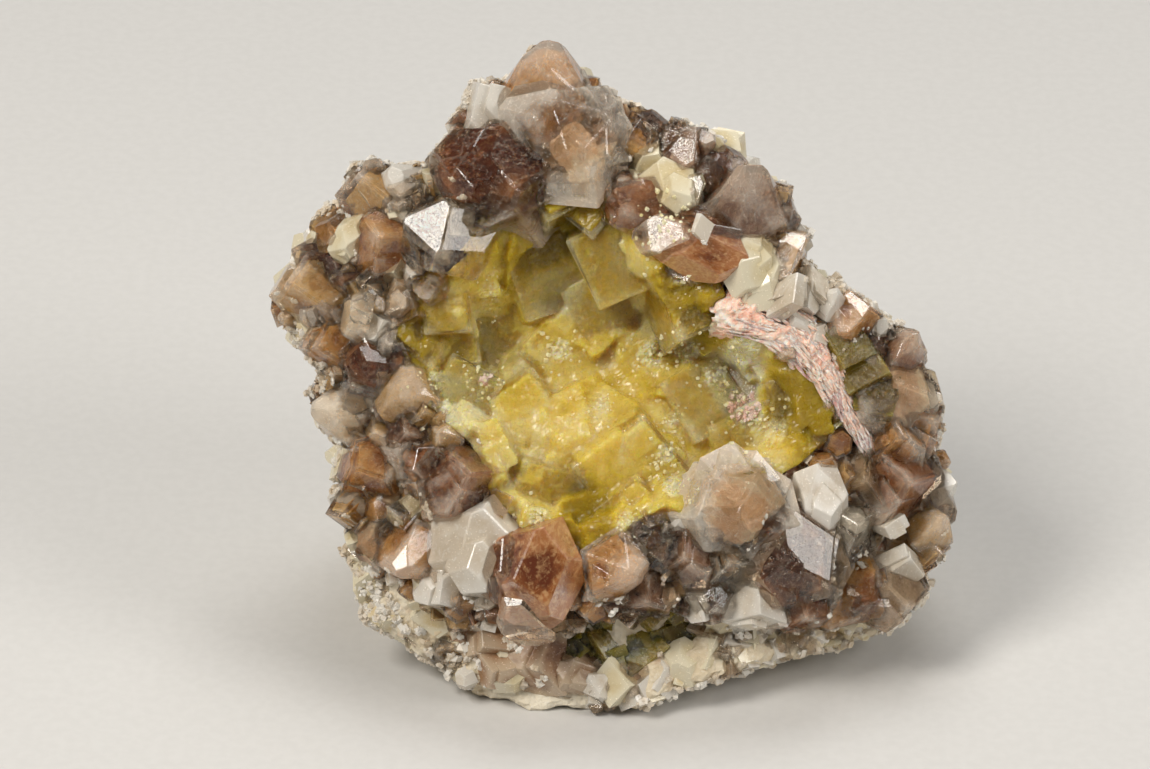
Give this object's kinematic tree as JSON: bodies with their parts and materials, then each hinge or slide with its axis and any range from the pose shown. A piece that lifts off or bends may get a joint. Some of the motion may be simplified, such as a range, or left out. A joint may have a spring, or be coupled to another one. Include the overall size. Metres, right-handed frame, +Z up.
{
  "type": "fluorite on calcite specimen",
  "caption": "Freestanding mineral specimen: brown calcite crystals on a pale calcite matrix ring a pocket lined with yellow fluorite cubes, cut flat below to stand.",
  "frame": {"origin": "centre of the bounding box at the flat-cut base", "axes": "+Z up, -Y the side that the crystallised face looks to, +X to the viewer's right of that face"},
  "size_m": [0.098, 0.0688, 0.0864],
  "materials": {
    "pale_calcite": "rough cream calcite rock with beady white druse",
    "brown_calcite": "glassy translucent honey to plum-brown calcite, paler at the crystal edges",
    "yellow_fluorite": "milky glassy yellow fluorite",
    "olive_fluorite": "glassy olive-yellow fluorite in shade",
    "pink_calcite": "silky fibrous pink-white calcite"
  },
  "bodies": {
    "root": {"calcite_matrix": "pale_calcite", "brown_calcite": "brown_calcite", "ledge_calcite": "brown_calcite", "pocket_fluorite": "yellow_fluorite", "lower_fluorite": "olive_fluorite", "side_fluorite": "olive_fluorite", "pink_calcite": "pink_calcite"}
  },
  "joints": []
}
